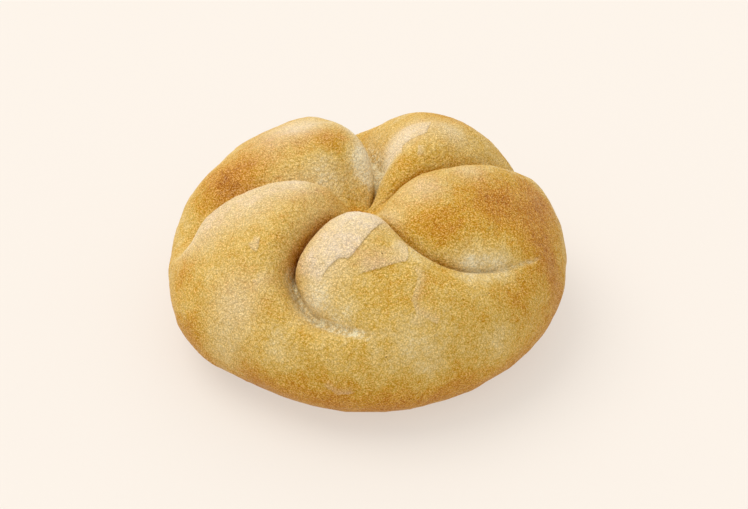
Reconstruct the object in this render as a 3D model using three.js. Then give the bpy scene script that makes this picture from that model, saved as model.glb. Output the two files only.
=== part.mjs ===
// Kaiser roll: a round wheat roll whose top is folded into five lobes around a deep star.
// It was baked as one piece, so it is one closed solid. Millimetres, +Z up, standing on z = 0.
//
// The skin starts as a plain bun: one meridian turned about Z. Every point of it has a bearing
// (degrees from +X towards +Y) and a distance along the crust from the middle of the top, and
// the seams between the lobes are curves through a few such points.

import * as THREE from "three";
import { mergeVertices } from "three/addons/utils/BufferGeometryUtils.js";

// Driving dimensions
const RADIUS = 55; // widest radius of the plain bun
const EQUATOR = 16.5; // height of that widest level
const CROWN = 34; // rise of the plain dome above it
const BASE_RADIUS = 39.5; // flat underside, where the dough sat on the baking sheet
const OVAL = 0.012; // share by which the plan is longer along OVAL_BEARING than across it
const OVAL_BEARING = 20;
const CELLS = 26; // squares along each edge of the cube that the skin is spread from

// Each seam runs outwards from the star, turning anticlockwise, and dies out at the rim.
// path: [distance along the crust, bearing]; depth: how far the seam sinks below the dome;
// left and right: how wide the shoulder is on the anticlockwise and on the clockwise side;
// fade: share of the seam's length after which it grows shallower.
const SEAMS = [
  {
    name: "left",
    path: [[3, 180], [9, 169], [20.5, 172.5], [42, 179], [50, 182], [63, 192]],
    depth: 12.5, left: 9, right: 18, fade: 0.8,
  },
  {
    name: "front_left",
    path: [[3, 198], [8, 222], [22, 228], [37.5, 232], [43.5, 236.5], [51.5, 251], [55, 269], [56.5, 279]],
    depth: 10, left: 13, right: 16, fade: 0.5,
  },
  {
    name: "front_right",
    path: [[2, 207], [10.5, 287], [28.5, 298], [39.5, 309], [47.5, 322], [54.5, 339], [57, 347]],
    depth: 9, left: 16, right: 12, fade: 0.35,
  },
  {
    name: "right",
    path: [[1.5, 180], [4, 40], [11.5, 26], [30.5, 25.5], [53, 31], [72, 38]],
    depth: 11, left: 14, right: 12.5, fade: 0.58,
  },
  {
    name: "back",
    path: [[2, 153], [5, 81], [18.5, 77], [32, 87], [45.5, 93.5], [62, 100], [72, 105]],
    depth: 15.5, left: 17.5, right: 19, fade: 0.65,
  },
];
const SEAM_STEPS = 60; // points that a seam's curve is measured at
const HUB = [2, 175]; // middle of the star
const HUB_DEPTH = 6; // how far the seams sink where they meet there
const HUB_RADIUS = 9;
const DISH_DEPTH = 12; // how far the whole crown dips around the star
const DISH_RADIUS = 12;
const GATHER_WIDTH = 8; // the skin's points are drawn together this near to a seam
const GATHER_SHARE = 0.85; // share of its distance that a point loses right beside the seam

// Where the dough swells above the plain bun: the five lobes, the full left cheek below them
// and the front left lobe's tip at the star. The heel under that cheek and the left lobes' rim
// are drawn in instead.
const SWELLINGS = [
  { name: "back_left", middle: [38, 125], rise: 1.3, reach: 20 },
  { name: "front_left", middle: [38, 205], rise: 1.5, reach: 20 },
  { name: "front", middle: [30, 262], rise: 1, reach: 15 },
  { name: "right", middle: [36, 0], rise: 1.6, reach: 18 },
  { name: "back_right", middle: [40, 60], rise: 2.6, reach: 18 },
  { name: "cheek", middle: [68, 212], rise: 1.4, reach: 16 },
  { name: "heel", middle: [86, 236], rise: -1.8, reach: 24 },
  { name: "star_rim", middle: [9, 184], rise: 3.5, reach: 5.5 },
  { name: "left_rim", middle: [63, 178], rise: -1.4, reach: 16 },
];
const FLAT_HEIGHT = 4; // the swellings die out below this height, so the underside stays flat

// The bun's meridian, from the middle of the top round to the middle of the underside.
function bunMeridian() {
  const outline = new THREE.Path();
  outline.moveTo(0, EQUATOR + CROWN);
  outline.absellipse(0, EQUATOR, RADIUS, CROWN, Math.PI / 2, 0, true);
  outline.absellipse(
    BASE_RADIUS, EQUATOR, RADIUS - BASE_RADIUS, EQUATOR, 0, -Math.PI / 2, true,
  );
  outline.lineTo(0, 0);
  return outline;
}

// A point of the crust laid out flat: distance from the middle of the top, and bearing.
function laidFlat(distance, bearing) {
  const angle = THREE.MathUtils.degToRad(bearing);
  return new THREE.Vector3(distance * Math.cos(angle), distance * Math.sin(angle), 0);
}

// The seam's curve as points on the flat-laid crust.
function seamPoints(seam) {
  const corners = seam.path.map(([distance, bearing]) => laidFlat(distance, bearing));
  return new THREE.CatmullRomCurve3(corners, false, "centripetal").getSpacedPoints(SEAM_STEPS);
}

// Nearest place of a flat-laid point on a seam: how far off, on which side, and how far along.
function nearestOnSeam(points, place) {
  const nearest = { distance: Infinity, side: 1, along: 0, away: new THREE.Vector3() };
  const step = new THREE.Vector3();
  const offset = new THREE.Vector3();
  for (let i = 0; i < points.length - 1; i++) {
    step.subVectors(points[i + 1], points[i]);
    offset.subVectors(place, points[i]);
    const share = THREE.MathUtils.clamp(offset.dot(step) / step.lengthSq(), 0, 1);
    const cross = step.x * offset.y - step.y * offset.x;
    const distance = offset.addScaledVector(step, -share).length();
    if (distance < nearest.distance) {
      nearest.distance = distance;
      nearest.side = Math.sign(cross) || 1;
      nearest.along = (i + share) / (points.length - 1);
      nearest.away.copy(offset);
    }
  }
  return nearest;
}

// Draws a flat-laid point towards its nearest seam, so that edges of the skin follow the seams.
function gather(seams, place) {
  const [first, second] = seams
    .map(({ points }) => nearestOnSeam(points, place))
    .sort((a, b) => a.distance - b.distance);
  const near = Math.max(0, 1 - first.distance / GATHER_WIDTH);
  const clear = Math.min(1, (second.distance - first.distance) / (GATHER_WIDTH / 2));
  place.addScaledVector(first.away, -GATHER_SHARE * near * clear);
}

// How full the crust is beside a seam: 0 on the seam, then round as a quarter ellipse up to 1.
function shoulder(distance, width) {
  const share = Math.min(distance / width, 1);
  return Math.sqrt(1 - (1 - share) ** 2);
}

// How far the crust sinks below the plain bun at a flat-laid point.
function sinking(seams, place) {
  let fullness = 1;
  let depth = 0;
  let weight = 0;
  for (const { seam, points } of seams) {
    const { distance, side, along } = nearestOnSeam(points, place);
    const strength = 1 - THREE.MathUtils.smoothstep(along, seam.fade, 1);
    const width = side > 0 ? seam.left : seam.right;
    fullness *= 1 - strength * (1 - shoulder(distance, width));
    const near = 1 / (distance ** 2 + 1);
    depth += near * seam.depth;
    weight += near;
  }
  const fromHub = place.distanceToSquared(laidFlat(...HUB));
  const hub = Math.exp(-fromHub / HUB_RADIUS ** 2);
  const deepest = THREE.MathUtils.lerp(depth / weight, HUB_DEPTH, hub);
  const dish = DISH_DEPTH * Math.exp(-fromHub / DISH_RADIUS ** 2);
  return dish + deepest * (1 - fullness);
}

// How far the crust swells above the plain bun at a flat-laid point, this high above the ground.
function swelling(place, height) {
  let risen = 0;
  for (const { middle, rise, reach } of SWELLINGS) {
    risen += rise * Math.exp(-place.distanceToSquared(laidFlat(...middle)) / reach ** 2);
  }
  return risen * THREE.MathUtils.smoothstep(height, 0, FLAT_HEIGHT);
}

// The roll's skin: a cube's faces spread evenly over the bun, and then pressed in at the seams.
function rollGeometry() {
  const geometry = new THREE.BoxGeometry(2, 2, 2, CELLS, CELLS, CELLS);
  geometry.deleteAttribute("normal");
  geometry.deleteAttribute("uv");
  const skin = mergeVertices(geometry);
  const meridian = bunMeridian();
  const length = meridian.getLength();
  const seams = SEAMS.map((seam) => ({ seam, points: seamPoints(seam) }));
  const position = skin.getAttribute("position");
  const direction = new THREE.Vector3();
  const even = (share) => Math.tan((share * Math.PI) / 4);
  for (let i = 0; i < position.count; i++) {
    direction.fromBufferAttribute(position, i);
    direction.set(even(direction.x), even(direction.y), even(direction.z)).normalize();
    const turned = THREE.MathUtils.radToDeg(Math.atan2(direction.y, direction.x));
    const place = laidFlat((Math.acos(direction.z) / Math.PI) * length, turned);
    gather(seams, place);
    const share = place.length() / length;
    const bearing = Math.atan2(place.y, place.x);
    const on = meridian.getPointAt(share);
    const along = meridian.getTangentAt(share);
    const sunk = sinking(seams, place) - swelling(place, on.y);
    const twist = Math.cos(2 * (bearing - THREE.MathUtils.degToRad(OVAL_BEARING)));
    const radius = (on.x + along.y * sunk) * (1 + OVAL * twist);
    const height = on.y - along.x * sunk;
    position.setXYZ(i, radius * Math.cos(bearing), radius * Math.sin(bearing), height);
  }
  skin.computeBoundingBox();
  const middle = skin.boundingBox.getCenter(new THREE.Vector3());
  skin.translate(-middle.x, -middle.y, -skin.boundingBox.min.z);
  skin.computeVertexNormals();
  return skin;
}

const crust = new THREE.MeshStandardMaterial({ color: "#cfa156", roughness: 0.6, metalness: 0 });
const roll = new THREE.Mesh(rollGeometry(), crust);
roll.name = "kaiser_roll";

const group = new THREE.Group();
group.add(roll);

export default group;
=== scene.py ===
"""Kaiser roll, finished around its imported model.

A round wheat roll, baked as one piece, whose crown is folded into five curved lobes around a
deep star. The skin starts as a plain bun, one meridian turned about Z, and is pressed in along
the seams between the lobes. Every place on the crust has a bearing, in degrees from +X towards
+Y, and a distance along the crust from the middle of the top. Lengths are in millimetres until
a mesh is made, and in metres from there on.
"""

from __future__ import annotations

import logging
import math
from dataclasses import dataclass, field
from enum import Enum
from typing import ClassVar

import bpy
import numpy as np
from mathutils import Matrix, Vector

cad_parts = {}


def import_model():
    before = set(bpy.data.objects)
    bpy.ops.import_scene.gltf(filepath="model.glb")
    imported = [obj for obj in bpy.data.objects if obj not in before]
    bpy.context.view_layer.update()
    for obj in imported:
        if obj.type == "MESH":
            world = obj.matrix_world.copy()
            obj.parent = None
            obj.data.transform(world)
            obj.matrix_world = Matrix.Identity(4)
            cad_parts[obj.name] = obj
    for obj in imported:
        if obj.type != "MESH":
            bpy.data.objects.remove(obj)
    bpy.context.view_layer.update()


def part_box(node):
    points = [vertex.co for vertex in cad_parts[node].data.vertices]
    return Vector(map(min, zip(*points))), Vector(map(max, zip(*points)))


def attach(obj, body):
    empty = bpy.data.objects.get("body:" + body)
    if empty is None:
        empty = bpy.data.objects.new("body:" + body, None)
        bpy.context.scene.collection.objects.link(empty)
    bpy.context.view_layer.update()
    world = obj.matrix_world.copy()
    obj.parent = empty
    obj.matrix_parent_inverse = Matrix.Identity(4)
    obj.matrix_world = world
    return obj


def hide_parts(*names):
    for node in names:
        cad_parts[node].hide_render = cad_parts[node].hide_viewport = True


LOG = logging.getLogger("kaiser_roll")
MM = 0.001  # metres in a millimetre

Tree = bpy.types.NodeTree
Socket = bpy.types.NodeSocket


def linear(colour: str) -> tuple[float, float, float, float]:
    """Turn an sRGB hex colour into linear RGBA.

    Args:
        colour: six hex digits after a hash sign.

    Returns:
        The linear red, green and blue, and an alpha of 1.
    """
    shares = [int(colour[i : i + 2], 16) / 255 for i in (1, 3, 5)]
    rgb = [s / 12.92 if s <= 0.04045 else ((s + 0.055) / 1.055) ** 2.4 for s in shares]
    return (*rgb, 1.0)


def smoothstep(low: float, high: float, value: np.ndarray) -> np.ndarray:
    """Rise smoothly from 0 at low to 1 at high."""
    share = np.clip((value - low) / (high - low), 0.0, 1.0)
    return share * share * (3 - 2 * share)


def laid_flat(distance: float | np.ndarray, bearing: float | np.ndarray) -> np.ndarray:
    """Give places on the crust, laid out flat around the middle of the top.

    Args:
        distance: distance along the crust from the middle of the top, in mm.
        bearing: degrees from +X towards +Y.

    Returns:
        The places' flat coordinates, in mm, along the last axis.
    """
    angle = np.radians(bearing)
    return np.stack([distance * np.cos(angle), distance * np.sin(angle)], axis=-1)


def add_node(
    tree: Tree,
    kind: str,
    links: dict[str | int, object] | None = None,
    **settings: object,
) -> bpy.types.Node:
    """Add a node with its settings, values and links.

    Args:
        tree: the node tree that gets the node.
        kind: the node's Blender type name.
        links: for each input, a value or the output socket that feeds it.
        settings: the node's own properties.

    Returns:
        The new node.
    """
    node = tree.nodes.new(kind)
    for name, value in settings.items():
        setattr(node, name, value)
    for name, value in (links or {}).items():
        if isinstance(value, Socket):
            tree.links.new(value, node.inputs[name])
        else:
            node.inputs[name].default_value = value
    return node


@dataclass(frozen=True)
class Meridian:
    """The plain bun's outline, from the middle of the top to the middle of the underside."""

    radius: float = 55.0
    equator: float = 16.5
    crown: float = 34.0
    base_radius: float = 39.5
    arc_points: int = 400

    def outline(self) -> np.ndarray:
        """Draw the outline: a dome above the widest level, and a rounder heel below it.

        Returns:
            The radius and height, in mm, of close points along it.
        """
        down = np.linspace(0, math.pi / 2, self.arc_points)
        heel = self.radius - self.base_radius
        dome = np.stack([self.radius * np.sin(down), self.equator + self.crown * np.cos(down)], 1)
        side = np.stack(
            [self.base_radius + heel * np.cos(down), self.equator * (1 - np.sin(down))], 1
        )
        return np.concatenate([dome, side[1:], [[0.0, 0.0]]])

    def at(self, distance: np.ndarray) -> tuple[np.ndarray, np.ndarray]:
        """Find the places at these distances along the outline.

        Args:
            distance: distances from the middle of the top, in mm.

        Returns:
            Their radius and height, and the outline's unit direction there.
        """
        points = self.outline()
        steps = np.diff(points, axis=0)
        sizes = np.linalg.norm(steps, axis=1)
        along = np.concatenate([[0], np.cumsum(sizes)])
        middles = (along[:-1] + along[1:]) / 2
        place = np.stack([np.interp(distance, along, points[:, k]) for k in (0, 1)], 1)
        way = np.stack(
            [np.interp(distance, middles, steps[:, k] / sizes) for k in (0, 1)], 1
        )
        return place, way / np.linalg.norm(way, axis=1, keepdims=True)

    def length(self) -> float:
        """Give the outline's whole length, in mm."""
        return float(np.linalg.norm(np.diff(self.outline(), axis=0), axis=1).sum())


@dataclass(frozen=True)
class Trace:
    """Where flat-laid places are beside a curve: how far off, on which side, how far along."""

    distance: np.ndarray
    side: np.ndarray
    along: np.ndarray
    away: np.ndarray


@dataclass(frozen=True)
class CrustCurve:
    """A curve on the flat-laid crust through a few places.

    Attributes:
        path: the places, each a distance and a bearing.
        samples: how many steps it is measured in.
        rounded: whether it bends through the places, or runs straight between them.
    """

    SPAN_POINTS: ClassVar[int] = 24

    path: tuple[tuple[float, float], ...]
    samples: int = 60
    rounded: bool = True

    def points(self) -> np.ndarray:
        """Draw the curve: a centripetal Catmull-Rom spline, or straight steps.

        Returns:
            The flat coordinates, in mm, of evenly spaced points along it.
        """
        corners = np.array([laid_flat(d, b) for d, b in self.path])
        if not self.rounded:
            return self._spaced(corners)
        ends = (2 * corners[0] - corners[1], 2 * corners[-1] - corners[-2])
        knots = np.array([ends[0], *corners, ends[1]])
        pieces = [self._span(*knots[i : i + 4]) for i in range(len(corners) - 1)]
        return self._spaced(np.concatenate(pieces))

    @staticmethod
    def _span(a: np.ndarray, b: np.ndarray, c: np.ndarray, d: np.ndarray) -> np.ndarray:
        """Draw one piece of the spline.

        Args:
            a: the corner before the piece.
            b: the corner that it starts from.
            c: the corner that it ends at.
            d: the corner after it.

        Returns:
            Close points between b and c.
        """
        t0 = 0.0
        t1 = t0 + math.sqrt(np.linalg.norm(b - a))
        t2 = t1 + math.sqrt(np.linalg.norm(c - b))
        t3 = t2 + math.sqrt(np.linalg.norm(d - c))
        t = np.linspace(t1, t2, CrustCurve.SPAN_POINTS)[:, None]
        ab = (t1 - t) / (t1 - t0) * a + (t - t0) / (t1 - t0) * b
        bc = (t2 - t) / (t2 - t1) * b + (t - t1) / (t2 - t1) * c
        cd = (t3 - t) / (t3 - t2) * c + (t - t2) / (t3 - t2) * d
        abc = (t2 - t) / (t2 - t0) * ab + (t - t0) / (t2 - t0) * bc
        bcd = (t3 - t) / (t3 - t1) * bc + (t - t1) / (t3 - t1) * cd
        return (t2 - t) / (t2 - t1) * abc + (t - t1) / (t2 - t1) * bcd

    def _spaced(self, line: np.ndarray) -> np.ndarray:
        """Space points evenly along a line.

        Args:
            line: the line's own points, one row each.

        Returns:
            The evenly spaced points.
        """
        along = np.concatenate([[0], np.cumsum(np.linalg.norm(np.diff(line, axis=0), axis=1))])
        at = np.linspace(0, along[-1], self.samples + 1)
        return np.stack([np.interp(at, along, line[:, k]) for k in (0, 1)], 1)

    def trace(self, places: np.ndarray) -> Trace:
        """Measure flat-laid places against the curve.

        Args:
            places: flat coordinates, in mm, one row each.

        Returns:
            Each place's distance, its side (1 on the anticlockwise side), its share of the
            curve's length and the step from the curve to it.
        """
        line = self.points()
        best = np.full(len(places), np.inf)
        side = np.ones(len(places))
        along = np.zeros(len(places))
        away = np.zeros((len(places), 2))
        for i, (start, end) in enumerate(zip(line[:-1], line[1:])):
            step = end - start
            offset = places - start
            share = np.clip(offset @ step / (step @ step), 0, 1)
            gap = offset - share[:, None] * step
            distance = np.linalg.norm(gap, axis=1)
            nearer = distance < best
            best[nearer] = distance[nearer]
            turn = step[0] * offset[nearer, 1] - step[1] * offset[nearer, 0]
            side[nearer] = np.where(turn >= 0, 1.0, -1.0)
            along[nearer] = (i + share[nearer]) / (len(line) - 1)
            away[nearer] = gap[nearer]
        return Trace(best, side, along, away)


@dataclass(frozen=True)
class Tear:
    """A stretch of a seam whose floor tore open in the oven, so that it is rough and pale.

    Attributes:
        start: share of the seam's length where it starts.
        end: share of the seam's length where it ends.
        half_width: half of the floor's width, in mm.
        pale: how bare the dough is there, from 0 to 1.
    """

    start: float
    end: float
    half_width: float
    pale: float = 1.0


@dataclass(frozen=True)
class Cleft:
    """A stretch of a seam where the lobes press together over a narrow, dark cleft; it is cut
    deeper, and its browner colour is painted shade.

    Attributes:
        start: share of the seam's length where it starts.
        end: share of the seam's length where it ends.
        depth: how far it runs on below the lobes' shoulders, in mm.
        half_width: half of its width, in mm.
    """

    start: float
    end: float
    depth: float
    half_width: float = 0.9


@dataclass(frozen=True)
class Seam:
    """A fold between two lobes, from the star out to the rim.

    Attributes:
        curve: where it runs on the crust.
        depth: how far it sinks below the plain bun, in mm.
        left: width of the shoulder on its anticlockwise side, in mm.
        right: width of the shoulder on its clockwise side, in mm.
        fade: share of its length after which it grows shallower.
        tear: where its floor is torn.
        cleft: where it is a narrow cleft.
    """

    curve: CrustCurve
    depth: float
    left: float
    right: float
    fade: float
    tear: Tear
    cleft: Cleft


LEFT_SEAM = Seam(
    CrustCurve(((3, 180), (9, 169), (20.5, 172.5), (42, 179), (50, 182), (63, 192))),
    depth=12.5, left=9, right=18, fade=0.8,
    tear=Tear(0.78, 1.0, 1.1, pale=0.75), cleft=Cleft(0.3, 0.92, 2.5),
)
FRONT_LEFT_SEAM = Seam(
    CrustCurve(
        (
            (3, 198), (7.5, 227), (20.7, 232), (36, 234), (42.8, 238), (51.5, 251), (55, 269),
            (56.5, 279),
        )
    ),
    depth=10, left=13, right=8, fade=0.5,
    tear=Tear(0.4, 0.95, 0.85, pale=0.85), cleft=Cleft(0.08, 0.52, 3.6, half_width=1.0),
)
FRONT_RIGHT_SEAM = Seam(
    CrustCurve(
        ((2, 207), (10.5, 287), (28.5, 298), (39.5, 309), (47.5, 322), (54.5, 339), (57, 347))
    ),
    depth=9, left=16, right=12, fade=0.35,
    tear=Tear(0.5, 0.95, 0.5, pale=0.3), cleft=Cleft(0.1, 0.65, 0.5),
)
RIGHT_SEAM = Seam(
    CrustCurve(((1.5, 180), (4, 40), (11.5, 26), (30.5, 25.5), (53, 31), (72, 38))),
    depth=11, left=14, right=12.5, fade=0.58,
    tear=Tear(0.7, 1.0, 0.5, pale=0.7), cleft=Cleft(0.1, 0.7, 1.2),
)
BACK_SEAM = Seam(
    CrustCurve(((2, 153), (5, 81), (18.5, 77), (32, 87), (45.5, 93.5), (62, 100), (72, 105))),
    depth=15.5, left=17.5, right=19, fade=0.65,
    tear=Tear(0.14, 0.85, 1.8), cleft=Cleft(0.06, 0.3, 1.6),
)
SEAMS = (LEFT_SEAM, FRONT_LEFT_SEAM, FRONT_RIGHT_SEAM, RIGHT_SEAM, BACK_SEAM)


@dataclass(frozen=True)
class Swelling:
    """A place where the dough swells above the plain bun, or is drawn in below it.

    Attributes:
        middle: its distance along the crust and its bearing.
        rise: how far it swells, in mm.
        reach: how wide the swelling spreads, in mm.
    """

    middle: tuple[float, float]
    rise: float
    reach: float


SWELLINGS = (
    # The five lobes: back left, front left, front, right and back right.
    Swelling((38, 125), rise=1.3, reach=20),
    Swelling((38, 205), rise=1.5, reach=20),
    Swelling((30, 262), rise=1.0, reach=15),
    Swelling((36, 0), rise=1.6, reach=18),
    Swelling((40, 60), rise=2.6, reach=18),
    # The full left cheek, and the heel below it, which is drawn in.
    Swelling((68, 212), rise=1.4, reach=16),
    Swelling((86, 236), rise=-1.8, reach=24),
    # The front left lobe's tip at the star, and the left lobes' rim, which is drawn in.
    Swelling((9, 184), rise=3.5, reach=5.5),
    Swelling((63, 178), rise=-1.4, reach=16),
)


@dataclass(frozen=True)
class Break:
    """A line where the crust's skin cracked as it cooled, and lifted on its left side.

    Attributes:
        curve: where it runs on the crust, in straight steps.
        lift: how far the lifted skin stands above the other side, in mm.
        reach: how wide the dry skin behind the line is, in mm.
        pale: how dry and pale it is right behind the line, from 0 to 1.
    """

    curve: CrustCurve
    lift: float
    reach: float
    pale: float


def crack(
    *path: tuple[float, float], lift: float = 0.14, reach: float = 2.0, pale: float = 0.25
) -> Break:
    """Make a break from its corners, each a distance and a bearing."""
    return Break(CrustCurve(path, samples=24, rounded=False), lift, reach, pale)


BREAKS = (
    # The front lobe: its pale left cheek, the tan flake beside it and the forked crack below.
    crack(
        (43, 252), (39.5, 253), (36.9, 255), (34.7, 258), (34.4, 263), (29, 269), (23, 279),
        (19, 290), lift=0.22, reach=9, pale=0.55,
    ),
    crack(
        (39, 266), (37.2, 276), (35.8, 289), (31, 292), (28.6, 292), (26.4, 288),
        lift=0.18, reach=6, pale=0.35,
    ),
    crack((37.4, 290), (40.8, 291), (44.5, 288), (47, 286), (50.3, 287), (53.3, 284)),
    crack((50.3, 287), (52.6, 290), (54.8, 293)),
    # The front left lobe's two small flakes.
    crack((39.9, 217), (40.8, 220.5), (40.2, 223), (36.4, 219), lift=0.2, reach=4, pale=0.3),
    crack((45.4, 228), (46.2, 229.5), (47.3, 228), lift=0.2, reach=3, pale=0.2),
    # The back right lobe's pale flank and the crack below it.
    crack((18, 55), (21.3, 60), (26, 50), (33, 56), lift=0.18, reach=9, pale=0.45),
    crack((21.5, 46), (19, 39), lift=0.2, reach=1.5, pale=0.3),
    # Short ones round the back and the sides.
    crack((55, 128), (52, 133), (53, 139), (50, 143), lift=0.2, reach=5, pale=0.35),
    crack((70, 152), (66, 156), (64, 162)),
    crack((49, 66), (52, 71), (51, 77), lift=0.2, reach=4, pale=0.3),
    crack((72, 82), (69, 88), (70, 94), (67, 98)),
    crack((66, 8), (63, 13), (65, 19), lift=0.2, reach=4, pale=0.3),
    crack((70, 258), (73, 262), (72, 267)),
)


@dataclass(frozen=True)
class Spot:
    """A patch that is browner, paler or drier than the crust around it: mostly where the oven
    browned or dried it otherwise, and in one crease painted shade.

    Attributes:
        middle: its distance along the crust and its bearing.
        reach: how wide it spreads, in mm.
        brown: how much further it is up the browning scale; less brown if negative.
        dry: how dry and pale its skin is, from 0 to 1.
    """

    middle: tuple[float, float]
    reach: float
    brown: float = 0.0
    dry: float = 0.0


SPOTS = (
    # The star, and the lobes' flanks that stand over it.
    Spot((2, 175), 4, brown=0.45),
    Spot((14, 206), 6, brown=0.1),
    # The back left lobe: its outer slope, browner as painted shade in the crease under the front
    # left lobe's crest, its middle, its pale rim and its crown.
    Spot((43, 168), 9, brown=0.42),
    Spot((35, 162), 8, brown=0.24),
    Spot((17, 88), 6, brown=-0.45, dry=0.2),
    Spot((14, 99), 5, brown=-0.35),
    Spot((28, 96), 5, brown=-0.25, dry=0.3),
    Spot((36, 135), 9, brown=0.1, dry=0.25),
    Spot((31, 127), 7, brown=-0.08, dry=0.55),
    Spot((31, 150), 7, dry=0.12),
    Spot((19, 112), 6, brown=0.28),
    Spot((15, 148), 5, brown=-0.35, dry=0.1),
    Spot((22, 138), 7, brown=0.2),
    # The front left lobe: its dry crest, its golden inner slope and its whitish outer end.
    Spot((20, 188), 7, brown=-0.12, dry=0.6),
    Spot((32, 193), 9, dry=0.5),
    Spot((46, 192), 9, dry=0.5),
    Spot((54, 190), 5, brown=-0.25, dry=0.45),
    Spot((60, 202), 6, brown=0.2),
    Spot((51, 208), 6, brown=0.05),
    Spot((27, 212), 6, brown=0.02),
    Spot((37, 219), 6, brown=0.02),
    Spot((39, 241), 4, brown=0.1),
    Spot((51, 239), 6, brown=0.16),
    Spot((54, 226), 8, dry=0.3),
    Spot((66, 214), 6, brown=0.15),
    Spot((58, 232), 7, brown=-0.1),
    Spot((72, 226), 9, brown=-0.3, dry=0.1),
    # The front lobe: its dry left cheek, the golden field and the pale belly below.
    Spot((23, 252), 8, dry=0.5),
    Spot((15, 262), 6, brown=-0.3, dry=0.65),
    Spot((34, 250), 8, dry=0.4),
    Spot((17, 285), 5, brown=-0.15, dry=0.4),
    Spot((33, 274), 5, brown=0.12),
    Spot((47, 250), 6, brown=-0.35, dry=0.2),
    Spot((51, 263), 5, brown=-0.2),
    Spot((55, 252), 6, brown=0.12),
    Spot((60, 244), 6, brown=-0.15),
    Spot((34, 299), 6, brown=-0.3),
    Spot((57, 283), 8, brown=-0.1),
    Spot((68, 289), 7, brown=-0.2),
    Spot((41, 297), 6, brown=0.2),
    Spot((47, 309), 7, brown=-0.06),
    Spot((72, 311), 8, brown=-0.2),
    # The right lobe: its dry ridge, its caramel middle and the pale band over its seam.
    Spot((17, 336), 6, brown=0.1, dry=0.35),
    Spot((28, 5), 5, dry=0.3),
    Spot((40, 332), 18, brown=0.1),
    Spot((34, 348), 8, brown=0.26),
    Spot((42, 354), 9, brown=0.2),
    Spot((52, 5), 9, brown=0.38),
    Spot((53, 347), 8, brown=0.3),
    Spot((29, 315), 7, brown=0.32),
    Spot((43, 317), 6, brown=-0.35, dry=0.12),
    Spot((49, 326), 5, brown=-0.35, dry=0.12),
    Spot((57, 325), 7, brown=0.2),
    Spot((63, 343), 8, brown=0.3),
    # The back right lobe: its dry left flank and its golden slopes.
    Spot((22, 74), 6, brown=-0.2, dry=0.2),
    Spot((27, 62), 6, dry=0.45),
    Spot((33, 44), 5, brown=-0.1, dry=0.3),
    Spot((14, 48), 4, brown=0.12),
    Spot((24, 30), 9, brown=0.08),
    Spot((48, 55), 12, brown=0.12),
    # The far side.
    Spot((62, 85), 11, brown=0.15),
    Spot((58, 122), 12, brown=0.2),
    Spot((66, 150), 11, dry=0.25),
    Spot((68, 60), 10, brown=-0.1, dry=0.2),
    Spot((72, 18), 11, brown=0.12),
)


class Pattern(Enum):
    """How a layer of the crust's relief is drawn."""

    SWELLS = "noise that rises and falls"
    DENTS = "noise folded up, so that it only rises"
    DOMES = "a round dome in some cells of a scattered pattern"


@dataclass(frozen=True)
class Layer:
    """One layer of the crust's relief, which stands along the skin's normal.

    Attributes:
        name: what it is, as its inputs on the tree are called.
        pattern: how it is drawn.
        size: how wide its features are, in mm.
        height: how far they stand out, in mm; they are pressed in if negative.
        where: the mesh's attribute, from 0 to 1, that says where it shows.
        detail: how many finer layers its noise has.
    """

    name: str
    pattern: Pattern
    size: float
    height: float
    where: str
    detail: float = 3.0


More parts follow.
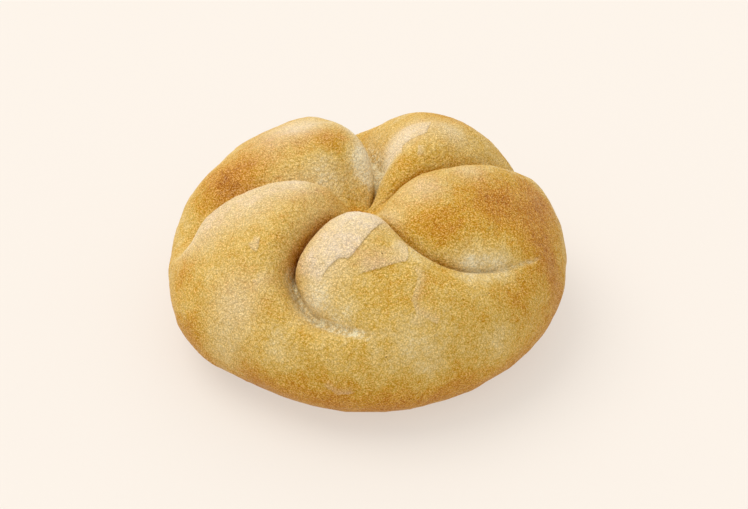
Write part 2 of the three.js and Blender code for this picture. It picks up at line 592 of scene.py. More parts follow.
@dataclass(frozen=True)
class CrustRelief:
    """The crust's own unevenness, which a Geometry Nodes tree presses into the skin.

    The dough's slow lumps, the wrinkles of its skin and the small blisters that steam raised
    stand clear of the seams, the torn dough lies in them, and the dimples are underneath.

    Attributes:
        layers: the layers, which are added up.
        seed: the patterns' own number.
        noise_band: the stretch of the raw noise that is spread from -1 to 1.
        dome_band: distances from a cell's middle, as shares of its size, where its dome
            starts and where it is full.
        dome_choice: the random numbers at which a cell's dome starts to rise and is full.
    """

    layers: tuple[Layer, ...] = (
        Layer("Lump", Pattern.SWELLS, size=16.0, height=0.35, where="open", detail=1.0),
        Layer("Wrinkle", Pattern.SWELLS, size=4.0, height=0.1, where="open"),
        Layer("Blister", Pattern.DOMES, size=1.9, height=0.16, where="open"),
        Layer("Tear", Pattern.SWELLS, size=1.7, height=0.4, where="torn"),
        Layer("Dimple", Pattern.DENTS, size=4.5, height=-0.4, where="below"),
    )
    seed: float = 7.0
    noise_band: tuple[float, float] = (0.33, 0.67)
    dome_band: tuple[float, float] = (0.42, 0.1)
    dome_choice: tuple[float, float] = (0.25, 0.95)

    def press(self, roll: bpy.types.Object, crust: bpy.types.Material) -> None:
        """Press the relief into the roll's mesh for good.

        Args:
            roll: the roll, whose mesh holds the attributes open, below and torn.
            crust: the material that its faces get.
        """
        tree = self._tree()
        modifier = roll.modifiers.new("relief", "NODES")
        modifier.node_group = tree
        values = {"Seed": self.seed, "Crust": crust}
        for layer in self.layers:
            values[f"{layer.name} Size"] = layer.size * MM
            values[f"{layer.name} Height"] = layer.height * MM
        for item in tree.interface.items_tree:
            if item.name in values:
                modifier[item.identifier] = values[item.name]
        graph = bpy.context.evaluated_depsgraph_get()
        pressed = bpy.data.meshes.new_from_object(roll.evaluated_get(graph))
        roll.modifiers.remove(modifier)
        plain = roll.data
        pressed.name = plain.name
        roll.data = pressed
        bpy.data.meshes.remove(plain)

    def _tree(self) -> Tree:
        """Build the tree, with named inputs for each layer's size and height.

        Returns:
            The Geometry Nodes tree.
        """
        tree = bpy.data.node_groups.new("crust relief", "GeometryNodeTree")
        inputs = {"Geometry": "Geometry", "Seed": "Float", "Crust": "Material"}
        for layer in self.layers:
            inputs |= {f"{layer.name} Size": "Float", f"{layer.name} Height": "Float"}
        for name, kind in inputs.items():
            tree.interface.new_socket(name, in_out="INPUT", socket_type=f"NodeSocket{kind}")
        tree.interface.new_socket("Geometry", in_out="OUTPUT", socket_type="NodeSocketGeometry")
        given = add_node(tree, "NodeGroupInput").outputs
        rise = 0.0
        for layer in self.layers:
            where = add_node(
                tree, "GeometryNodeInputNamedAttribute", {"Name": layer.where}, data_type="FLOAT"
            )
            links = {0: self._drawn(tree, layer, given), 1: given[f"{layer.name} Height"]}
            tall = add_node(tree, "ShaderNodeMath", links, operation="MULTIPLY")
            links = {0: tall.outputs[0], 1: where.outputs["Attribute"], 2: rise}
            rise = add_node(tree, "ShaderNodeMath", links, operation="MULTIPLY_ADD").outputs[0]
        normal = add_node(tree, "GeometryNodeInputNormal").outputs["Normal"]
        links = {0: normal, "Scale": rise}
        step = add_node(tree, "ShaderNodeVectorMath", links, operation="SCALE")
        links = {"Geometry": given["Geometry"], "Offset": step.outputs[0]}
        moved = add_node(tree, "GeometryNodeSetPosition", links)
        real = add_node(tree, "GeometryNodeRealizeInstances", {0: moved.outputs[0]})
        links = {"Geometry": real.outputs[0], "Material": given["Crust"]}
        dressed = add_node(tree, "GeometryNodeSetMaterial", links)
        add_node(tree, "NodeGroupOutput", {0: dressed.outputs[0]})
        return tree

    def _drawn(self, tree: Tree, layer: Layer, given: bpy.types.NodeOutputs) -> Socket:
        """Draw a layer's pattern.

        Args:
            tree: the tree that gets the nodes.
            layer: the layer.
            given: the tree's inputs.

        Returns:
            The pattern's socket: about -1 to 1 for swells, 0 to 1 for dents and domes.
        """
        size = {0: 1.0, 1: given[f"{layer.name} Size"]}
        links = {
            "Vector": add_node(tree, "GeometryNodeInputPosition").outputs["Position"],
            "W": given["Seed"],
            "Scale": add_node(tree, "ShaderNodeMath", size, operation="DIVIDE").outputs[0],
        }
        if layer.pattern is Pattern.DOMES:
            return self._domes(tree, links)
        links["Detail"] = layer.detail
        noise = add_node(tree, "ShaderNodeTexNoise", links, noise_dimensions="4D")
        low, high = self.noise_band
        links = {0: noise.outputs[0], 1: low, 2: high, 3: -1.0, 4: 1.0}
        swells = add_node(tree, "ShaderNodeMapRange", links).outputs[0]
        if layer.pattern is Pattern.SWELLS:
            return swells
        return add_node(tree, "ShaderNodeMath", {0: swells}, operation="ABSOLUTE").outputs[0]

    def _domes(self, tree: Tree, scatter: dict[str | int, object]) -> Socket:
        """Raise a round dome in some cells of a scattered pattern.

        Args:
            tree: the tree that gets the nodes.
            scatter: the scattered pattern's place, seed and scale.

        Returns:
            The domes' socket, from 0 to 1.
        """
        cells = add_node(tree, "ShaderNodeTexVoronoi", scatter, voronoi_dimensions="4D").outputs
        rim, full = self.dome_band
        dome = add_node(
            tree,
            "ShaderNodeMapRange",
            {0: cells["Distance"], 1: rim, 2: full},
            interpolation_type="SMOOTHSTEP",
        )
        random = add_node(tree, "ShaderNodeSeparateXYZ", {0: cells["Color"]}).outputs["X"]
        low, high = self.dome_choice
        chosen = add_node(tree, "ShaderNodeMapRange", {0: random, 1: low, 2: high})
        links = {0: dome.outputs[0], 1: chosen.outputs[0]}
        return add_node(tree, "ShaderNodeMath", links, operation="MULTIPLY").outputs[0]


@dataclass(frozen=True)
class Patch:
    """How something that a mesh attribute places lies over the crust.

    Attributes:
        attribute: the mesh's attribute, from 0 to 1.
        strength: share of the crust's colour that it hides where it is whole.
        raggedness: how far a pattern moves its edge.
    """

    attribute: str
    strength: float
    raggedness: float


@dataclass(frozen=True)
class BakedCrust:
    """Crust of a wheat roll: dough whose steamed skin browned in a hot oven.

    It is sandy and half matt with tiny beads that glint, golden where the heat was even,
    caramel where a lobe stood up into it, dry and pinkish on the crests, and pale and crumbly
    where the dough tore open late. Sizes are in mm.

    Attributes:
        browning: colours from hardly baked to dark.
        dry_skin: colour of the dry, floury skin on the crests.
        dough: colour of bare torn dough.
        crumb: colour of the hollows in it.
        pinhole_shade: colour of the painted shade inside a pinhole.
        sand: colour of the painted glints on the sand's tops.
        glint_strength: how strong those painted glints are.
        glint_band: the stretch of the grain from its pits to its tops.
        glint_range: how far the pits are painted darker, as painted shade, and the tops lighter,
            as painted glints.
        mottle_size: width of the browning's slow changes.
        fleck_size: width of its quick ones.
        grain_size: width of a grain of the sandy skin.
        bead_size: width of a bead of the skin.
        crumb_size: width of a crumb in torn dough.
        gap_size: width of the gaps of air under the roll.
        gap_band: the noise at which a gap starts and is full.
        gap_range: how much browner the touching places are, and how much paler the gaps.
        pinhole_size: width of a pinhole.
        pinhole_spacing: distance between them.
        grain_height: height of the grains.
        bead_height: height of the beads.
        roughness: lowest and highest roughness.
        roughness_band: the stretch of the flecks from the lowest to the highest.
        crumb_band: the stretch of the crumbs from the dough's tops to its hollows.
        skin_patch: how the dry skin lies over the crust.
        torn_patch: how the torn dough does.
        flour: share of the dusty sheen that the last flour gives the skin.
        shine: specular level, low because the crust is dry.
        patterns: how far mottle, flecks and beads spread the browning.
    """

    browning: tuple[str, ...] = ("#eedeb4", "#e1c37e", "#d7b056", "#cd972b", "#c28318", "#a2640f")
    dry_skin: str = "#eedcc4"
    dough: str = "#f5e8bf"
    crumb: str = "#dfc48c"
    pinhole_shade: str = "#6f4720"
    sand: str = "#ffe6b0"
    glint_strength: float = 1.75
    glint_band: tuple[float, float] = (0.44, 0.7)
    glint_range: tuple[float, float] = (-0.06, 0.2)
    mottle_size: float = 13.0
    fleck_size: float = 3.2
    grain_size: float = 0.38
    bead_size: float = 0.9
    crumb_size: float = 1.2
    gap_size: float = 8.0
    gap_band: tuple[float, float] = (0.44, 0.64)
    gap_range: tuple[float, float] = (0.1, -0.4)
    pinhole_size: float = 0.45
    pinhole_spacing: float = 6.5
    grain_height: float = 0.4
    bead_height: float = 0.36
    roughness: tuple[float, float] = (0.38, 0.6)
    roughness_band: tuple[float, float] = (0.35, 0.65)
    crumb_band: tuple[float, float] = (0.62, 0.4)
    skin_patch: Patch = Patch("skin", strength=0.8, raggedness=0.9)
    torn_patch: Patch = Patch("torn", strength=1.0, raggedness=1.6)
    flour: float = 0.015
    shine: float = 0.14
    patterns: tuple[float, float, float] = (0.4, 0.35, 0.2)

    def material(self) -> bpy.types.Material:
        """Build the material's nodes.

        Returns:
            The material.
        """
        material = bpy.data.materials.new("baked wheat crust")
        material.use_nodes = True
        tree = material.node_tree
        shader = tree.nodes["Principled BSDF"].inputs
        place = add_node(tree, "ShaderNodeTexCoord").outputs["Object"]
        noises = {
            "mottle": (self.mottle_size, 2.0),
            "flecks": (self.fleck_size, 3.0),
            "grain": (self.grain_size, 2.0),
            "crumbs": (self.crumb_size, 2.0),
            "gaps": (self.gap_size, 3.0),
        }
        made = {}
        for name, (size, detail) in noises.items():
            links = {"Vector": place, "Scale": 1 / (size * MM), "Detail": detail, "Roughness": 0.6}
            made[name] = add_node(tree, "ShaderNodeTexNoise", links).outputs[0]
        links = {"Vector": place, "Scale": 1 / (self.bead_size * MM)}
        made["beads"] = add_node(tree, "ShaderNodeTexVoronoi", links).outputs["Distance"]
        crust = self._covered(tree, self._browned(tree, made), made)
        # Pinholes are painted dark: painted shade.
        crust = self._pinholes_painted(tree, crust, place)
        # Painted glints on the grain's tops, and painted shade in its pits, go into the base
        # colour.
        tree.links.new(self._glints_painted(tree, crust, made["grain"]), shader["Base Color"])
        links = dict(enumerate((made["flecks"], *self.roughness_band, *self.roughness)))
        gloss = add_node(tree, "ShaderNodeMapRange", links).outputs[0]
        tree.links.new(gloss, shader["Roughness"])
        shader["Specular IOR Level"].default_value = self.shine
        shader["Sheen Weight"].default_value = self.flour
        shader["Sheen Roughness"].default_value = 0.5
        links = {"Height": made["grain"], "Distance": self.grain_height * MM}
        sand = add_node(tree, "ShaderNodeBump", links)
        links = {
            "Height": made["beads"],
            "Distance": self.bead_height * MM,
            "Normal": sand.outputs[0],
        }
        beads = add_node(tree, "ShaderNodeBump", links, invert=True)
        tree.links.new(beads.outputs[0], shader["Normal"])
        return material

    def _browned(self, tree: Tree, made: dict[str, Socket]) -> Socket:
        """Colour the crust by how far it browned.

        Args:
            tree: the tree that gets the nodes.
            made: the patterns that are drawn already.

        Returns:
            The colour's socket.
        """
        total = add_node(tree, "ShaderNodeAttribute", attribute_name="browning").outputs["Fac"]
        for name, spread in zip(("mottle", "flecks", "beads"), self.patterns):
            links = {0: made[name], 1: spread, 2: -spread / 2}
            centred = add_node(tree, "ShaderNodeMath", links, operation="MULTIPLY_ADD").outputs[0]
            total = add_node(tree, "ShaderNodeMath", {0: total, 1: centred}).outputs[0]
        # The underside browned where it touched the sheet, and stayed pale over the gaps of air.
        below = add_node(tree, "ShaderNodeAttribute", attribute_name="below").outputs["Fac"]
        links = dict(enumerate((made["gaps"], *self.gap_band, *self.gap_range)))
        air = add_node(tree, "ShaderNodeMapRange", links).outputs[0]
        links = {0: air, 1: below, 2: total}
        total = add_node(tree, "ShaderNodeMath", links, operation="MULTIPLY_ADD").outputs[0]
        ramp = add_node(tree, "ShaderNodeValToRGB", {"Fac": total})
        bar = ramp.color_ramp.elements
        bar[0].color, bar[1].color = linear(self.browning[0]), linear(self.browning[-1])
        for step, colour in enumerate(self.browning[1:-1], start=1):
            bar.new(step / (len(self.browning) - 1)).color = linear(colour)
        return ramp.outputs["Color"]

    def _covered(self, tree: Tree, crust: Socket, made: dict[str, Socket]) -> Socket:
        """Lay the dry skin and the torn dough over the crust.

        Args:
            tree: the tree that gets the nodes.
            crust: the crust's colour.
            made: the patterns that are drawn already.

        Returns:
            The covered colour's socket.
        """
        links = dict(enumerate((made["crumbs"], *self.crumb_band)))
        hollow = add_node(tree, "ShaderNodeMapRange", links).outputs[0]
        links = {"Factor": hollow, "A": linear(self.dough), "B": linear(self.crumb)}
        rough = add_node(tree, "ShaderNodeMix", links, data_type="RGBA").outputs["Result"]
        skin = self._cover(tree, self.skin_patch, made["flecks"])
        torn = self._cover(tree, self.torn_patch, made["crumbs"])
        for cover, colour in ((skin, linear(self.dry_skin)), (torn, rough)):
            links = {"Factor": cover, "A": crust, "B": colour}
            crust = add_node(tree, "ShaderNodeMix", links, data_type="RGBA").outputs["Result"]
        return crust

    @staticmethod
    def _cover(tree: Tree, patch: Patch, pattern: Socket) -> Socket:
        """Read how far a patch covers the crust, with its edge broken up by a pattern.

        Args:
            tree: the tree that gets the nodes.
            patch: the patch.
            pattern: noise that breaks the edge up.

        Returns:
            The cover's socket, from 0 to 1.
        """
        # Twice the attribute, so that a patch is whole from half of it up.
        mask = add_node(tree, "ShaderNodeAttribute", attribute_name=patch.attribute).outputs["Fac"]
        whole = add_node(tree, "ShaderNodeMath", {0: mask, 1: 2.0}, operation="MULTIPLY")
        # The pattern is centred on one half, and a tenth is added to make up for its low places.
        strength = 1.1 * patch.strength
        links = {
            0: pattern,
            1: patch.raggedness * strength,
            2: (1 - patch.raggedness) / 2 * strength,
        }
        kept = add_node(tree, "ShaderNodeMath", links, operation="MULTIPLY_ADD", use_clamp=True)
        links = {0: whole.outputs[0], 1: kept.outputs[0]}
        cover = add_node(tree, "ShaderNodeMath", links, operation="MULTIPLY", use_clamp=True)
        return cover.outputs[0]

    def _pinholes_painted(self, tree: Tree, crust: Socket, place: Socket) -> Socket:
        """Paint the shade of a pinhole that a gas bubble left in every other wide cell; no hole is
        cut.

        Args:
            tree: the tree that gets the nodes.
            crust: the crust's colour.
            place: the position that the cells are read at.

        Returns:
            The colour's socket, with the pinholes' painted shade.
        """
        links = {"Vector": place, "Scale": 1 / (self.pinhole_spacing * MM)}
        cells = add_node(tree, "ShaderNodeTexVoronoi", links).outputs
        # The rim is soft, from 0.7 to 1.3 of the radius, and the painted shade inside the hole
        # lets some crust show through.
        radius = self.pinhole_size / self.pinhole_spacing / 2
        links = {0: cells["Distance"], 1: radius * 1.3, 2: radius * 0.7, 4: 0.75}
        hole = add_node(tree, "ShaderNodeMapRange", links).outputs[0]
        random = add_node(tree, "ShaderNodeSeparateXYZ", {0: cells["Color"]}).outputs["X"]
        chosen = add_node(tree, "ShaderNodeMapRange", {0: random, 1: 0.45, 2: 0.55}).outputs[0]
        pinhole_shade = add_node(tree, "ShaderNodeMath", {0: hole, 1: chosen}, operation="MULTIPLY")
        links = {"Factor": pinhole_shade.outputs[0], "A": crust, "B": linear(self.pinhole_shade)}
        return add_node(tree, "ShaderNodeMix", links, data_type="RGBA").outputs["Result"]

    def _glints_painted(self, tree: Tree, crust: Socket, grain: Socket) -> Socket:
        """Paint glints on the sand's tops, and a little painted shade in the shallow pits between
        them.

        Args:
            tree: the tree that gets the nodes.
            crust: the crust's colour.
            grain: the sand's noise.

        Returns:
            The colour's socket, with the painted glints and shade.
        """
        links = dict(enumerate((grain, *self.glint_band, *self.glint_range)))
        height = add_node(tree, "ShaderNodeMapRange", links).outputs[0]
        light = Vector(linear(self.sand)[:3]) * self.glint_strength
        links = {0: height, 1: light, 2: crust}
        return add_node(tree, "ShaderNodeVectorMath", links, operation="MULTIPLY_ADD").outputs[0]


@dataclass
class KaiserRoll:
    """The roll: its folded skin as one closed mesh. Sizes are in mm.

    Attributes:
        meridian: the plain bun's outline.
        seams: the folds between the lobes.
        swellings: where the dough swells above the plain bun.
        breaks: the cracks of the skin.
        spots: where the crust browned or dried otherwise than around it, and where one crease is
            painted with shade.
        relief: the crust's own unevenness.
        crust: the baked finish.
        flat_height: height below which the swellings die out, so that the underside stays flat.
        sole_height: height below which the crust lay on the baking sheet.
        cells: squares along each edge of the cube that the skin is spread from.
        oval: share by which the plan is longer along oval_bearing than across it.
        oval_bearing: where the plan is longest, in degrees.
        hub: middle of the star.
        hub_depth: how far the seams sink where they meet there.
        hub_radius: how wide that is.
        dish_depth: how far the whole crown dips around the star.
        dish_radius: how wide that is.
        gather_width: the skin's points are drawn together this near to a seam.
        gather_share: share of its distance that a point loses beside a seam.
        break_width: the same width for a break.
        break_share: the same share for a break.
        end_share: share of its length over which a tear, a cleft or a break dies out.
        torn_width: how much wider than its floor a tear is rough, as a factor.
        torn_fringe: what is added to that.
        torn_core: share of that width within which it is wholly torn.
        cleft_shade_depth: depth from which a cleft's painted shade is as dark as it gets.
        faded_clearance: how far from a seam a place counts where the seam has died out.
        relief_clearance: distances from a seam at which the relief starts and is whole.
        skin_clearance: the same for the dry skin.
        lift_reach: how far the lifted skin behind a break slopes down.
        groove_depth: depth of the groove in front of a break.
        groove_width: half of its width.
        crowding: how much closer the skin's points are on the crown than underneath.
        browning: how far up the browning scale the whole roll is, from 0 to 1.
        heel: distances along the crust at which the heel's deeper browning starts and is whole.
        heel_browning: how much further up the scale it is.
        cleft_painted_shade: how much further up the browning scale a cleft is painted, as painted
            shade.
    """

    meridian: Meridian = field(default_factory=Meridian)
    seams: tuple[Seam, ...] = SEAMS
    swellings: tuple[Swelling, ...] = SWELLINGS
    breaks: tuple[Break, ...] = BREAKS
    spots: tuple[Spot, ...] = SPOTS
    relief: CrustRelief = CrustRelief()
    crust: BakedCrust = BakedCrust()
    flat_height: float = 4.0
    sole_height: float = 0.4
    cells: int = 128
    oval: float = 0.012
    oval_bearing: float = 20.0
    hub: tuple[float, float] = (2.0, 175.0)
    hub_depth: float = 6.0
    hub_radius: float = 9.0
    dish_depth: float = 12.0
    dish_radius: float = 12.0
    gather_width: float = 6.0
    gather_share: float = 0.8
    break_width: float = 1.8
    break_share: float = 0.8
    end_share: float = 0.12
    torn_width: float = 1.5
    torn_fringe: float = 0.4
    torn_core: float = 0.4
    cleft_shade_depth: float = 2.0
    faded_clearance: float = 6.0
    relief_clearance: tuple[float, float] = (0.4, 3.5)
    skin_clearance: tuple[float, float] = (0.2, 1.5)
    lift_reach: float = 3.5
    groove_depth: float = 0.05
    groove_width: float = 0.45
    crowding: float = 0.3
    browning: float = 0.38
    heel: tuple[float, float] = (62.0, 78.0)
    heel_browning: float = 0.34
    cleft_painted_shade: float = 0.7

    def build(self, name: str, low: Vector, high: Vector) -> bpy.types.Object:
        """Make the roll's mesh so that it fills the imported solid's box.

        Args:
            name: the new object's name.
            low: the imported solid's lowest corner, in m.
            high: its highest corner, in m.

        Returns:
            The new object, linked to the scene.
        """
        directions, faces = self._ball()
        share = np.arccos(np.clip(directions[:, 2], -1, 1)) / math.pi
        share = share * (1 - self.crowding) + self.crowding * share**2
        bearing = np.degrees(np.arctan2(directions[:, 1], directions[:, 0]))
        places = self._gathered(laid_flat(share * self.meridian.length(), bearing))
        points, masks = self._folded(places)
        points *= MM
        middle = (points.min(0) + points.max(0)) / 2
        points -= [middle[0], middle[1], points[:, 2].min()]
        points += [*((low + high) / 2).xy, low.z]
        mesh = bpy.data.meshes.new(name)
        mesh.from_pydata(points.tolist(), [], faces.tolist())
        mesh.polygons.foreach_set("use_smooth", np.ones(len(faces), bool))
        for mask, values in masks.items():
            mesh.attributes.new(mask, "FLOAT", "POINT").data.foreach_set("value", values)
        mesh.update()
        roll = bpy.data.objects.new(name, mesh)
        bpy.context.scene.collection.objects.link(roll)
        self.relief.press(roll, self.crust.material())
        return roll

    def _ball(self) -> tuple[np.ndarray, np.ndarray]:
        """Spread a cube's gridded faces evenly over a ball.

        Returns:
            The unit directions of the points, and the squares between them.
        """
        steps = np.tan(np.linspace(-1, 1, self.cells + 1) * math.pi / 4)
        u, v = (a.ravel() for a in np.meshgrid(steps, steps, indexing="ij"))
        one = np.ones_like(u)
        sides = [
            (u, v, one), (v, u, -one), (one, u, v), (-one, v, u), (v, one, u), (u, -one, v),
        ]
        points = np.concatenate([np.stack(side, 1) for side in sides])
        points /= np.linalg.norm(points, axis=1, keepdims=True)
        rows = self.cells + 1
        corner = (np.arange(self.cells)[:, None] * rows + np.arange(self.cells)).ravel()
        square = np.stack([corner, corner + rows, corner + rows + 1, corner + 1], 1)
        faces = np.concatenate([square + k * rows * rows for k in range(len(sides))])
        # Where two faces of the cube meet, their points differ by rounding alone.
        key = np.round(points * 1e6).astype(np.int64)
        _, first, merged = np.unique(key, axis=0, return_index=True, return_inverse=True)
        return points[first], merged.ravel()[faces]

    def _gathered(self, places: np.ndarray) -> np.ndarray:
        """Draw places towards the nearest seam, and then break, so that edges follow them.

        Args:
            places: flat coordinates, in mm, one row each.

        Returns:
            The gathered flat coordinates.
        """
        seams = [seam.curve for seam in self.seams]
        breaks = [line.curve for line in self.breaks]
        for curves, width, share in (
            (seams, self.gather_width, self.gather_share),
            (breaks, self.break_width, self.break_share),
        ):
            traces = [curve.trace(places) for curve in curves]
            distances = np.stack([t.distance for t in traces])
            order = np.argsort(distances, axis=0)
            row = np.arange(len(places))
            first, second = distances[order[0], row], distances[order[1], row]
            away = np.stack([t.away for t in traces])[order[0], row]
            near = np.clip(1 - first / width, 0, 1) ** 2
            clear = np.clip((second - first) / (width / 2), 0, 1)
            places = places - away * (share * near * clear)[:, None]
        return places

    def _pressed(self, places: np.ndarray) -> tuple[np.ndarray, dict[str, np.ndarray]]:
        """Measure the seams at flat-laid places.

        Args:
            places: flat coordinates, in mm, one row each.

        Returns:
            How far the crust sinks below the plain bun, in mm; and in the dictionary how torn it
            is and how much painted shade its cleft gets, from 0 to 1, and how clear of the nearest
            seam, in mm.
        """
        fullness = np.ones(len(places))
        depth = np.zeros(len(places))
        weight = np.zeros(len(places))
        torn = np.zeros(len(places))
        cleft = np.zeros(len(places))
        gorge = np.zeros(len(places))
        clear = np.full(len(places), np.inf)
        for seam in self.seams:
            trace = seam.curve.trace(places)
            opened = self._stretch(trace.along, seam.tear.start, seam.tear.end)
            floor = seam.tear.half_width * opened
            strength = 1 - smoothstep(seam.fade, 1, trace.along)
            width = np.where(trace.side > 0, seam.left, seam.right)
            share = np.clip((trace.distance - floor) / width, 0, 1)
            shoulder = np.sqrt(1 - (1 - share) ** 2)
            fullness *= 1 - strength * (1 - shoulder)
            near = 1 / (trace.distance**2 + 1)
            depth += near * seam.depth
            weight += near
            spread = seam.tear.half_width * self.torn_width + self.torn_fringe
            edge = 1 - smoothstep(self.torn_core, 1, trace.distance / spread)
            torn = np.maximum(torn, opened * edge * seam.tear.pale)
            pressed = self._stretch(trace.along, seam.cleft.start, seam.cleft.end)
            pressed = pressed * np.exp(-((trace.distance / seam.cleft.half_width) ** 2))
            # The cleft's mask only darkens the colour: painted shade, fuller where the cleft is
            # deeper.
            cleft = np.maximum(cleft, pressed * min(seam.cleft.depth / self.cleft_shade_depth, 1))
            gorge = np.maximum(gorge, pressed * seam.cleft.depth)
            clear = np.minimum(clear, trace.distance + self.faded_clearance * (1 - strength))
        from_hub = ((places - laid_flat(*self.hub)) ** 2).sum(1)
        hub = np.exp(-from_hub / self.hub_radius**2)
        deepest = depth / weight * (1 - hub) + self.hub_depth * hub
        dish = self.dish_depth * np.exp(-from_hub / self.dish_radius**2)
        sinking = dish + deepest * (1 - fullness) + gorge
        return sinking, {"torn": torn, "cleft": cleft, "clear": clear}

    def _stretch(self, along: np.ndarray, start: float, end: float) -> np.ndarray:
        """Give 1 within a stretch of a curve, and fall softly to 0 at its ends."""
        rising = smoothstep(start, start + self.end_share, along)
        return rising * (1 - smoothstep(end - self.end_share, end, along))

    def _swelling(self, places: np.ndarray, height: np.ndarray) -> np.ndarray:
        """Measure the swellings, which leave the underside alone.

        Args:
            places: flat coordinates, in mm, one row each.
            height: the plain bun's height there, in mm.

        Returns:
            How far the crust swells above the plain bun, in mm.
        """
        swelling = np.zeros(len(places))
        for lobe in self.swellings:
            away = ((places - laid_flat(*lobe.middle)) ** 2).sum(1)
            swelling += lobe.rise * np.exp(-away / lobe.reach**2)
        return swelling * smoothstep(0, self.flat_height, height)

    def _broken(self, places: np.ndarray) -> tuple[np.ndarray, np.ndarray]:
        """Measure the breaks.

        Args:
            places: flat coordinates, in mm, one row each.

        Returns:
            How far they lift the skin, in mm, and how dry they leave it, from 0 to 1.
        """
        lift = np.zeros(len(places))
        dry = np.zeros(len(places))
        for line in self.breaks:
            trace = line.curve.trace(places)
            ends = self._stretch(trace.along, 0, 1)
            raised = trace.side > 0
            beside = np.exp(-((trace.distance / self.lift_reach) ** 2))
            groove = np.exp(-((trace.distance / self.groove_width) ** 2))
            lift += np.where(raised, line.lift * beside, -self.groove_depth * groove) * ends
            behind = np.exp(-((trace.distance / line.reach) ** 2))
            dry = np.maximum(dry, line.pale * behind * ends * raised)
        return lift, dry

    def _folded(self, places: np.ndarray) -> tuple[np.ndarray, dict[str, np.ndarray]]:
        """Turn flat-laid places into the folded skin.

        Args:
            places: flat coordinates, in mm, one row each.

        Returns:
            The skin's points, in mm, and for each attribute its value at each point.
        """
        bearing = np.arctan2(places[:, 1], places[:, 0])
        on, way = self.meridian.at(np.linalg.norm(places, axis=1))
        sinking, seams = self._pressed(places)
        lift, dry = self._broken(places)
        above = smoothstep(0, self.flat_height, on[:, 1])
        opened = smoothstep(*self.relief_clearance, seams["clear"]) * above
        sunk = sinking - self._swelling(places, on[:, 1]) - lift * opened
        oval = 1 + self.oval * np.cos(2 * (bearing - math.radians(self.oval_bearing)))
        radius = (on[:, 0] + way[:, 1] * sunk) * oval
        height = on[:, 1] - way[:, 0] * sunk
        from_top = np.linalg.norm(places, axis=1)
        brown = self.browning + self.heel_browning * smoothstep(*self.heel, from_top)
        for spot in self.spots:
            near = np.exp(-((places - laid_flat(*spot.middle)) ** 2).sum(1) / spot.reach**2)
            brown = brown + spot.brown * near
            dry = dry + spot.dry * near * (1 - dry)
        masks = {
            "open": opened,
            "below": 1 - smoothstep(0, self.sole_height, on[:, 1]),
            "torn": seams["torn"],
            "skin": dry * smoothstep(*self.skin_clearance, seams["clear"]),
            # A cleft is browned further here: painted shade.
            "browning": brown + seams["cleft"] * self.cleft_painted_shade,
        }
        points = np.stack([radius * np.cos(bearing), radius * np.sin(bearing), height], 1)
        return points, masks


@dataclass(frozen=True)
class SoftLight:
    """A wide, even light from far away.

    Attributes:
        bearing: where it comes from, in degrees from +X towards +Y.
        elevation: how high it stands, in degrees.
        spread: how wide it looks from the roll, in degrees.
        strength: its strength, in W/m2.
        colour: its colour.
    """

    bearing: float
    elevation: float
    spread: float
    strength: float
    colour: str

    def build(self, name: str) -> None:
        """Hang the light over the scene.

        Args:
            name: the light's name.
        """
        data = bpy.data.lights.new(name, "SUN")
        data.angle = math.radians(self.spread)
        data.energy = self.strength
        data.color = linear(self.colour)[:3]
        lamp = bpy.data.objects.new(name, data)
        turn, tilt = math.radians(self.bearing), math.radians(self.elevation)
        level = math.cos(tilt)
        away = Vector((math.cos(turn) * level, math.sin(turn) * level, math.sin(tilt)))
        lamp.location = away
        lamp.rotation_euler = (-away).to_track_quat("-Z", "Y").to_euler()
        bpy.context.scene.collection.objects.link(lamp)


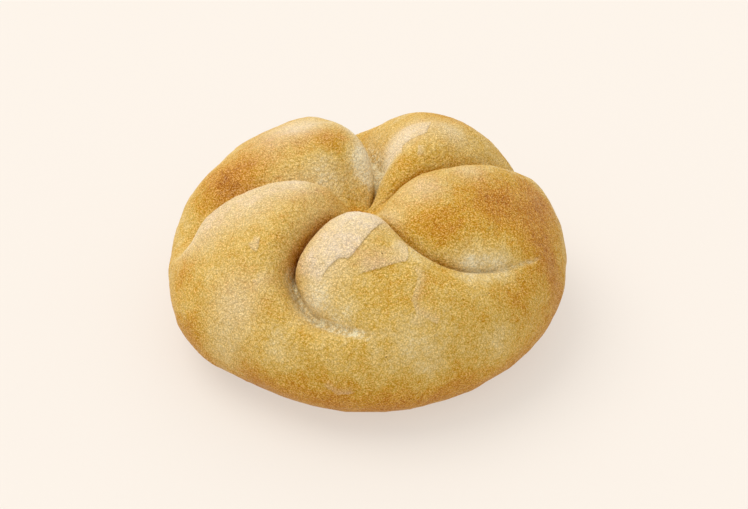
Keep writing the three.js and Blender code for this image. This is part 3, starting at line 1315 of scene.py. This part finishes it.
@dataclass
class Studio:
    """A pale sweep of floor, soft lamps and the camera.

    Attributes:
        elevation: how far the camera looks down, in degrees.
        distance: how far it stands off, in m.
        lens: its focal length, in mm.
        aim: the point that it looks at, in m.
        floor_size: length of the floor's side, in m.
        sheet: colour of the floor's acrylic sheet.
        backlight: colour of the light that comes through it.
        glow: how strong that light is.
        key: the main light, from behind on the left.
        rim: the weaker light, from behind.
        surroundings: strength of the white light from all round.
    """

    elevation: float = 38.0
    distance: float = 0.8
    lens: float = 138.3
    aim: tuple[float, float, float] = (0.0017, 0.0, 0.0195)
    floor_size: float = 6.0
    sheet: str = "#9a938d"
    backlight: str = "#fff8ee"
    glow: float = 0.551
    key: SoftLight = SoftLight(
        bearing=155, elevation=60, spread=45, strength=1.47, colour="#fffaf2"
    )
    rim: SoftLight = SoftLight(
        bearing=98, elevation=35, spread=60, strength=0.48, colour="#ffffff"
    )
    surroundings: float = 0.79

    def build(self) -> None:
        """Make the camera, the lights, the floor and the surroundings."""
        scene = bpy.context.scene
        scene.view_settings.view_transform = "Standard"
        self._camera()
        self.key.build("key")
        self.rim.build("rim")
        self._floor()
        world = bpy.data.worlds.new("surroundings")
        world.use_nodes = True
        sky = world.node_tree.nodes["Background"]
        sky.inputs["Color"].default_value = linear("#ffffff")
        sky.inputs["Strength"].default_value = self.surroundings
        scene.world = world

    def _camera(self) -> None:
        """Make the camera and aim it."""
        data = bpy.data.cameras.new("camera")
        data.lens = self.lens
        data.clip_start, data.clip_end = 0.01, 20
        camera = bpy.data.objects.new("camera", data)
        tilt = math.radians(self.elevation)
        back = Vector((0, -math.cos(tilt), math.sin(tilt)))
        camera.location = Vector(self.aim) + back * self.distance
        camera.rotation_euler = (math.pi / 2 - tilt, 0, 0)
        bpy.context.scene.collection.objects.link(camera)
        bpy.context.scene.camera = camera

    def _floor(self) -> None:
        """Lay the floor just under the roll: an acrylic sheet that is also lit from below."""
        half = self.floor_size / 2
        mesh = bpy.data.meshes.new("floor")
        corners = [(-half, -half, 0), (half, -half, 0), (half, half, 0), (-half, half, 0)]
        mesh.from_pydata(corners, [], [(0, 1, 2, 3)])
        floor = bpy.data.objects.new("floor", mesh)
        # The light from below keeps the roll's shadow faint and close, as on a light table.
        material = bpy.data.materials.new("opal acrylic sheet")
        material.use_nodes = True
        shader = material.node_tree.nodes["Principled BSDF"].inputs
        shader["Base Color"].default_value = linear(self.sheet)
        shader["Roughness"].default_value = 0.9
        shader["Emission Color"].default_value = linear(self.backlight)
        shader["Emission Strength"].default_value = self.glow
        mesh.materials.append(material)
        bpy.context.scene.collection.objects.link(floor)


def main() -> None:
    """Build the studio and the roll, and report what was made."""
    logging.basicConfig(level=logging.INFO, format="%(message)s")
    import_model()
    Studio().build()
    low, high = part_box("kaiser_roll")
    roll = KaiserRoll().build("roll_crust", low, high)
    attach(roll, "root")
    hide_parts("kaiser_roll")
    LOG.info("%s: %d faces", roll.name, len(roll.data.polygons))


if __name__ == "__main__":
    main()
